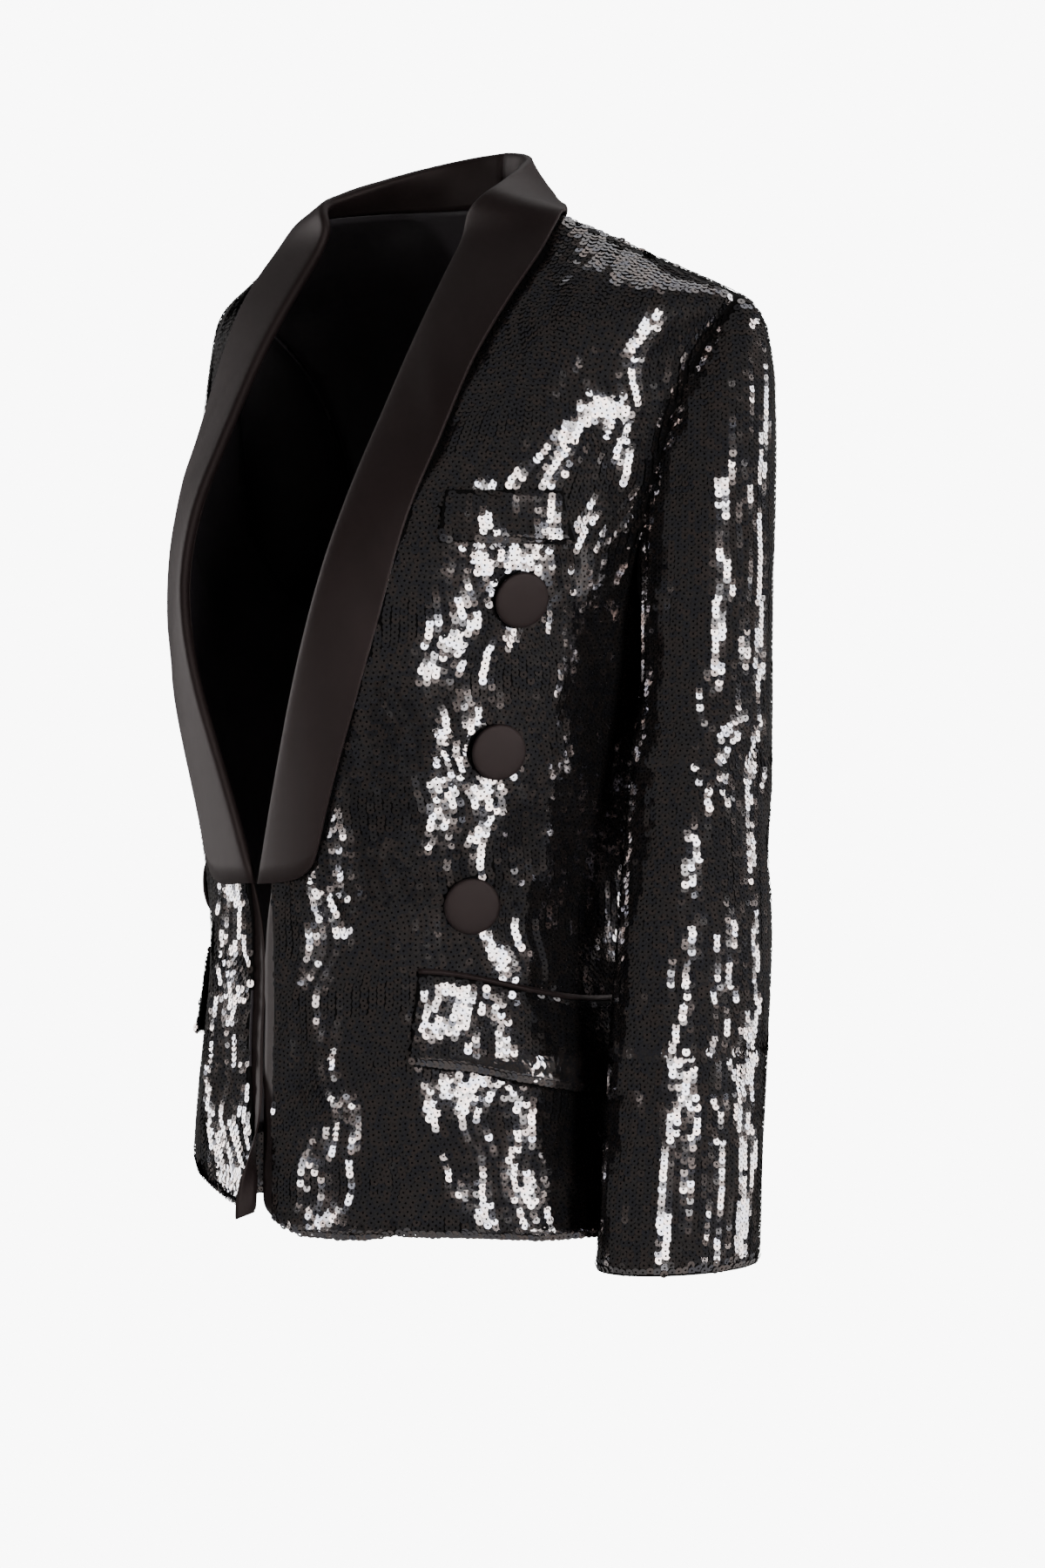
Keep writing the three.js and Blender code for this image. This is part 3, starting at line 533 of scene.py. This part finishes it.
def mark_gathers(shell):
    """Stores how near each of a button's points is to its rim, and the phase of the gathers."""
    points = points_of(shell)
    spread = points - points.mean(0)
    _, _, axes = np.linalg.svd(spread, full_matrices=False)
    first, second = spread @ axes[0], spread @ axes[1]
    reach = np.hypot(first, second)
    for name, values in (
        ("rim", reach / reach.max()),
        ("turn", GATHERS * np.arctan2(second, first)),
    ):
        stored = shell.data.attributes.new(name, "FLOAT", "POINT")
        stored.data.foreach_set("value", values.astype(np.float32))


def dressed(part):
    """The shell of a sub-part, with its look, in the place of its node."""
    node = part["node"]
    kind = node_kind(node)
    shell = smoothed(frame["nodes"][node], node + "_cloth", kind == "facing")
    shell.data.materials.clear()
    shell.data.materials.append(looks[part["material_slot"]])
    if kind in ("front", "back", "sleeve"):
        line_inside(shell, node)
    if kind == "button":
        mark_gathers(shell)
    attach(shell, "root")
    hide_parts(node)
    return shell


shells = {part["node"]: dressed(part) for part in frame["record"]["subparts"]}

# Seams and creases


def tree_of(shell):
    """The faces of a shell, ready for rays."""
    mesh = shell.data
    mesh.calc_loop_triangles()
    corners = [tuple(triangle.vertices) for triangle in mesh.loop_triangles]
    return BVHTree.FromPolygons([v.co for v in mesh.vertices], corners)


def close_seam(name, neighbour):
    """Draws the rim of a piece onto the piece that it is sewn to."""
    tree = tree_of(shells[neighbour])
    points = points_of(shells[name])
    beside = points_of(shells[neighbour])
    low, high = beside.min(0), beside.max(0)
    near = ((points > low - SEAM_REACH) & (points < high + SEAM_REACH)).all(1)
    for index in np.flatnonzero(near):
        place, _, _, distance = tree.find_nearest(Vector(points[index]), SEAM_REACH)
        if place is not None and distance > 0:
            step = np.array(place) - points[index]
            points[index] += step * (1 + SEAM_BITE / distance)
    set_points(shells[name], points)


for sewn, neighbour in SEWN:
    close_seam(sewn, neighbour)


def carrier(name):
    """The piece whose creases a piece shares: what lies on a front moves with it."""
    if node_kind(name) in ("front", "back", "sleeve", "collar"):
        return name
    return "front_" + side_of(name)


def seam_fade(name, points):
    """0 at a piece's seams, rising to 1 away from them, so that its creases end before they meet
    its neighbours."""
    fade = np.ones(len(points))
    for pair in SEWN:
        if carrier(name) not in pair:
            continue
        other = pair[0] if pair[1] == carrier(name) else pair[1]
        tree = tree_of(shells[other])
        for index, point in enumerate(points):
            _, _, _, distance = tree.find_nearest(Vector(point), SEAM_CALM)
            if distance is not None:
                fade[index] = min(fade[index], distance / SEAM_CALM)
    return fade * fade * (3 - 2 * fade)


def crease(name):
    """A shell's points, moved in or out along its soft creases. A button moves whole."""
    points = points_of(shells[name])
    spots = points.mean(0, keepdims=True) if node_kind(name) == "button" else points
    cx, cy = centre_line(name)(spots[:, 2])
    away = np.stack([spots[:, 0] - cx, spots[:, 1] - cy], 1)
    radius = np.linalg.norm(away, axis=1)
    bearing = np.degrees(np.arctan2(away[:, 0], -away[:, 1]))
    shift = np.zeros(len(spots))
    for piece, angle, z, width, length, depth, slant in CREASES:
        if piece != carrier(name):
            continue
        turn = np.radians((bearing - angle + 180) % 360 - 180)
        rise = spots[:, 2] / MM - z
        across = turn * radius / MM + slant * rise
        shift += depth * MM * np.exp(-((across / width) ** 2) - (rise / length) ** 2)
    shift *= seam_fade(name, spots)
    points[:, :2] += away / radius[:, None] * shift[:, None]
    return points


creased = {name: crease(name) for name in shells}
for name, points in creased.items():
    set_points(shells[name], points)

# Sequins


def smooth_normals(shell, places, hits):
    """The shell's normals at places on its triangles, blended from the triangles' corners."""
    mesh = shell.data
    corners = np.array([tuple(triangle.vertices) for triangle in mesh.loop_triangles])
    co = points_of(shell)
    directions = np.array([tuple(normal.vector) for normal in mesh.vertex_normals])
    found = hits >= 0
    corner = corners[hits[found]]
    a, b, c = (co[corner[:, k]] for k in range(3))
    spot = places[found]
    shares = np.stack([
        np.linalg.norm(np.cross(second - spot, third - spot), axis=1)
        for second, third in ((b, c), (c, a), (a, b))
    ], 1)
    shares /= shares.sum(1, keepdims=True)
    normals = np.full(places.shape, np.nan)
    normals[found] = (directions[corner] * shares[:, :, None]).sum(1)
    return normals


def rim_triangles(shell):
    """Which of a shell's triangles lie on the cut edge of its cloth, between its two skins."""
    mesh = shell.data
    rims = np.empty(len(mesh.polygons), dtype=np.int32)
    mesh.attributes["rim"].data.foreach_get("value", rims)
    return rims[[triangle.polygon_index for triangle in mesh.loop_triangles]] > 0


def from_body(name, sine, z, centre):
    """Whether a ray comes onto a sleeve's cap from the body, where the cap lies open."""
    return name in CAP_BARE and z > CAP_LEVEL and sine * centre < -CAP_BARE[name] * abs(centre)


def read_skin(name, angles, reach):
    """Where level rays towards a piece's centre line first meet its outer skin, and the skin's
    normals there, for every height and bearing."""
    shell = shells[name]
    tree = tree_of(shell)
    rims = rim_triangles(shell)
    co = points_of(shell)
    heights = np.arange(co[:, 2].min() + EDGE_ROOM / 2, co[:, 2].max(), LEVEL_STEP)
    cx, cy = centre_line(name)(heights)
    places = np.full((len(heights), len(angles), 3), np.nan)
    hits = np.full((len(heights), len(angles)), -1)
    rays = np.stack([np.sin(np.radians(angles)), -np.cos(np.radians(angles))], 1)
    for i, z in enumerate(heights):
        for j, (x, y) in enumerate(rays):
            if from_body(name, x, z, cx[i]):
                continue
            origin = Vector((cx[i] + x * reach, cy[i] + y * reach, z))
            place, normal, index, _ = tree.ray_cast(origin, Vector((-x, -y, 0)), reach)
            if place is None or rims[index]:
                continue
            if normal.x * x + normal.y * y > GRAZING:
                places[i, j] = place
                hits[i, j] = index
    return heights, places, smooth_normals(shell, places, hits)


def wander(s, z):
    """How far a row wanders across the cloth at a height, in slow swirls."""
    return sum(
        size * np.sin(2 * math.pi * (z / tall + s / wide) + phase)
        for size, tall, wide, phase in WANDERS
    )


def off_line(name, points):
    """How far some points of a piece are from the line that its rows are counted from: the centre
    back, a sleeve's outermost points, or an upright line of the front."""
    kind = node_kind(name)
    if kind == "back":
        return points[:, 0]
    out = points[:, 0] * side_sign(name)
    if kind == "sleeve":
        return out - out.max()
    return out - (WELT_LINE if kind == "welt" else FRONT_LINE)


def lengths_round(name, places):
    """For each height, the length round the skin at each bearing, measured from the piece's line."""
    steps = np.linalg.norm(np.diff(places, axis=1), axis=2)
    length = np.concatenate([np.zeros((len(places), 1)), np.cumsum(np.nan_to_num(steps), axis=1)], 1)
    length[np.isnan(places[:, :, 0])] = np.nan
    starts = np.full(len(places), np.nan)
    for i, row in enumerate(places):
        columns = np.flatnonzero(~np.isnan(row[:, 0]))
        if len(columns) > 0:
            nearest = np.argmin(np.abs(off_line(name, row[columns])))
            starts[i] = length[i, columns[nearest]]
    return length - starts[:, None]


def read_along(stops, travelled, values):
    """Rows of values, given at lengths along a line, as they are at its stops."""
    return np.stack([np.interp(stops, travelled, column) for column in values.T], 1)


def row_points(name, random):
    """The sequins of a piece, as along_row gives them."""
    kind = node_kind(name)
    first, last, step, reach, share = READINGS[kind]
    mirrored = 1 if kind == "sleeve" else side_sign(name)
    heights, places, normals = read_skin(name, mirrored * np.arange(first, last, step), reach)
    skin = np.concatenate([places, normals], axis=2)
    length = lengths_round(name, places)
    low = math.ceil(np.nanmin(length) / ROW_PITCH) - SPARE_ROWS
    high = math.floor(np.nanmax(length) / ROW_PITCH) + SPARE_ROWS
    rows = np.arange(low, high + 1) * ROW_PITCH
    line_points = np.full((len(rows), len(heights), skin.shape[2]), np.nan)
    for i, z in enumerate(heights):
        seen = ~np.isnan(length[i])
        if seen.sum() < 2:
            continue
        at = rows + share * wander(rows, z)
        span = length[i, seen]
        inside = (at > span.min() + EDGE_ROOM) & (at < span.max() - EDGE_ROOM)
        line_points[inside, i] = read_along(at[inside], span, skin[i, seen])
    found = []
    for row in line_points:
        seen = ~np.isnan(row[:, 0])
        breaks = np.flatnonzero(np.diff(seen.astype(int))) + 1
        for run in np.split(np.arange(len(row)), breaks):
            if len(run) >= SHORTEST_RUN and seen[run[0]]:
                found.append(along_row(row[run], random))
    return np.concatenate(found)


def along_row(run, random):
    """Sequins at an even pitch along one row, as centre, normal, direction, twist and nod."""
    steps = np.linalg.norm(np.diff(run[:, :3], axis=0), axis=1)
    travelled = np.concatenate([[0.0], np.cumsum(steps)])
    stops = np.arange(random.uniform(0, FIRST_STOP) * SEQUIN_PITCH, travelled[-1], SEQUIN_PITCH)
    spot = read_along(stops, travelled, run)
    ahead = read_along(stops + SEQUIN_PITCH, travelled, run[:, :3])
    behind = read_along(stops - SEQUIN_PITCH, travelled, run[:, :3])
    knots = np.arange(0.0, travelled[-1] + 2 * ROW_RUN, ROW_RUN)
    turns = [
        np.interp(stops, knots, size * random.standard_normal(len(knots)))
        for size in (ROW_TWIST, ROW_NOD)
    ]
    return np.concatenate([spot, ahead - behind, np.stack(turns, 1)], 1)


def unit(vectors):
    """Vectors of length one."""
    return vectors / np.linalg.norm(vectors, axis=1, keepdims=True)


def rippled(places, normals):
    """How far the discs at some places are turned about their rows by the net's slow waves, in
    degrees."""
    across = np.arctan2(normals[:, 0], -normals[:, 1]) * RIPPLE_RADIUS
    total = np.zeros(len(places))
    for wide, tall, phase, tilt in RIPPLES:
        total += tilt * np.sin(2 * math.pi * (across / wide + places[:, 2] / tall) + phase)
    return total


def disc_corners(spots, random):
    """The corners of each disc: a flat ring that leans on the next disc of its row."""
    places, normals, directions, twists, nods = np.split(spots, SPOT_PARTS, axis=1)
    normal = unit(normals)
    along = unit(directions - normal * (directions * normal).sum(1, keepdims=True))
    across = np.cross(along, normal)
    count = len(spots)
    loose = SEQUIN_LOOSE * random.standard_normal((count, 2))
    roll = np.radians(rippled(places, normals)[:, None] + twists + loose[:, :1])
    lean = np.radians(SEQUIN_LEAN + nods + loose[:, 1:])
    face = unit(normal + np.tan(lean) * along + np.tan(roll) * across)
    first = unit(across - face * (across * face).sum(1, keepdims=True))
    second = np.cross(face, first)
    scatter = SEQUIN_SCATTER * random.standard_normal((count, 2))
    centre = places + normal * SEQUIN_STAND + across * scatter[:, :1] + along * scatter[:, 1:]
    spin = random.uniform(0, 2 * math.pi / SEQUIN_CORNERS, count)
    corners = []
    for number, radius in ((SEQUIN_CORNERS, SEQUIN_RADIUS), (HOLE_CORNERS, HOLE_RADIUS)):
        for k in range(number):
            angle = (spin + 2 * math.pi * k / number)[:, None]
            corners.append(centre + radius * (np.cos(angle) * first + np.sin(angle) * second))
    return np.stack(corners, 1)


def disc_mesh(name, spots, random):
    """One mesh of all a piece's discs, with a tone of its own stored on each disc."""
    points = disc_corners(spots, random).reshape(-1, 3)
    size = SEQUIN_CORNERS + HOLE_CORNERS
    count = len(spots)
    faces = (np.arange(count)[:, None, None] * size + ring_triangles()[None]).reshape(-1, 3)
    mesh = bpy.data.meshes.new(name)
    mesh.vertices.add(len(points))
    mesh.vertices.foreach_set("co", points.astype(np.float32).ravel())
    mesh.loops.add(faces.size)
    mesh.loops.foreach_set("vertex_index", faces.astype(np.int32).ravel())
    mesh.polygons.add(len(faces))
    mesh.polygons.foreach_set("loop_start", np.arange(len(faces), dtype=np.int32) * 3)
    mesh.update(calc_edges=True)
    tone = mesh.attributes.new("tone", "FLOAT", "POINT")
    tone.data.foreach_set("value", np.repeat(random.random(count), size).astype(np.float32))
    return mesh


def ring_triangles():
    """The triangles of a flat ring between the disc's corners and the hole's."""
    share = SEQUIN_CORNERS // HOLE_CORNERS
    triangles = []
    for k in range(SEQUIN_CORNERS):
        inner = SEQUIN_CORNERS + (k // share + k % share) % HOLE_CORNERS
        triangles.append((k, (k + 1) % SEQUIN_CORNERS, inner))
        if k % share == 0:
            after = SEQUIN_CORNERS + (k // share + 1) % HOLE_CORNERS
            triangles.append((SEQUIN_CORNERS + k // share, k + share - 1, after))
    return np.array(triangles)


def uncovered(spots, tree):
    """Which sequins have no other piece lying over them."""
    keep = []
    places, normals, *_ = np.split(spots, SPOT_PARTS, axis=1)
    for place, normal in zip(places, normals):
        direction = Vector(normal).normalized()
        hit = tree.ray_cast(Vector(place) + direction * SEQUIN_STAND, direction, COVER_REACH)
        keep.append(hit[0] is None)
    return np.array(keep)


def covers_tree(kinds):
    """The faces of all the shells of some kinds together, ready for rays."""
    points, corners = [], []
    for name, shell in shells.items():
        if node_kind(name) not in kinds:
            continue
        mesh = shell.data
        mesh.calc_loop_triangles()
        base = len(points)
        points += [v.co for v in mesh.vertices]
        corners += [tuple(base + v for v in t.vertices) for t in mesh.loop_triangles]
    return BVHTree.FromPolygons(points, corners)


def scatter_sequins(name, covers):
    """Covers a sequinned piece with its rows of discs, save where another piece lies over them."""
    random = np.random.default_rng([SEED, sorted(shells).index(name)])
    spots = row_points(name, random)
    if covers is not None:
        spots = spots[uncovered(spots, covers)]
    piece = add_object(name + "_sequins", disc_mesh(name + "_sequins", spots, random))
    piece.data.materials.append(sequin)
    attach(piece, "root")


front_covers = covers_tree(("collar", "facing", "flap", "welt", "jet", "button"))
back_covers = covers_tree(("collar",))
for side in ("left", "right"):
    scatter_sequins("front_" + side, front_covers)
    scatter_sequins("back_" + side, back_covers)
    scatter_sequins("flap_" + side, None)
    scatter_sequins("sleeve_" + side, None)
scatter_sequins("breast_welt", None)

# Flat cuts: each piece's cut and side are looked up, but nothing is made from them

for node, shell in shells.items():
    cut = CUTS.get(node_kind(node))
    if cut is None:
        continue
    side = side_of(node)

# Camera, lights and floor


def add_camera():
    """The photograph's camera."""
    data = bpy.data.cameras.new("Camera")
    data.sensor_width = CAMERA_SENSOR
    data.lens = CAMERA_LENS
    data.clip_start = CAMERA_NEAR
    data.clip_end = CAMERA_FAR
    camera = add_object("Camera", data)
    bpy.context.scene.camera = camera
    turn = math.radians(CAMERA_AZIMUTH)
    camera.location = (
        math.sin(turn) * CAMERA_DISTANCE + math.cos(turn) * CAMERA_ASIDE,
        -math.cos(turn) * CAMERA_DISTANCE + math.sin(turn) * CAMERA_ASIDE,
        CAMERA_HEIGHT,
    )
    camera.rotation_euler = (math.radians(90.0 - CAMERA_PITCH), 0.0, turn)


def add_lamp(name, bearing, elevation, distance, width, height, power):
    """A soft box that looks at the blazer."""
    data = bpy.data.lights.new(name, "AREA")
    data.shape = "RECTANGLE"
    data.size = width
    data.size_y = height
    data.energy = power
    lamp = add_object(name, data)
    a, e = math.radians(bearing), math.radians(elevation)
    back = Vector((math.sin(a) * math.cos(e), -math.cos(a) * math.cos(e), math.sin(e)))
    lamp.location = Vector(LIGHTS_AIM) + back * distance
    lamp.rotation_mode = "QUATERNION"
    lamp.rotation_quaternion = (-back).to_track_quat("-Z", "Y")


def studio_white(tree, lit, kind, output):
    """White as the camera sees it, and something dimmer for what is lit by it."""
    path = add_node(tree, "LightPath")
    seen = add_node(tree, kind, Strength=WORLD_SEEN, Color=WHITE)
    mix = add_node(tree, "MixShader")
    link(tree, path, "Is Camera Ray", mix, "Fac")
    link(tree, lit, 0, mix, 1)
    link(tree, seen, 0, mix, 2)
    link(tree, mix, 0, output, "Surface")


def add_world():
    """A plain pale studio all round."""
    world = bpy.data.worlds.new("Studio")
    bpy.context.scene.world = world
    world.use_nodes = True
    nodes = world.node_tree.nodes
    background = nodes["Background"]
    background.inputs["Color"].default_value = WORLD_TINT
    background.inputs["Strength"].default_value = WORLD_LIGHT
    studio_white(world.node_tree, background, "Background", nodes["World Output"])


def add_floor():
    """A plain pale floor, far below the hem."""
    half = FLOOR_SIZE / 2
    mesh = bpy.data.meshes.new("floor")
    corners = [(-half, -half), (half, -half), (half, half), (-half, half)]
    mesh.from_pydata([(x, y, FLOOR_LEVEL) for x, y in corners], [], [(0, 1, 2, 3)])
    floor = add_object("floor", mesh)
    look = new_material("floor", base=(0.5, 0.495, 0.49), roughness=0.7)
    nodes = look.node_tree.nodes
    studio_white(look.node_tree, nodes["Principled BSDF"], "Emission", nodes["Material Output"])
    floor.data.materials.append(look)


add_camera()
for light in LIGHTS:
    add_lamp(*light)
add_world()
add_floor()
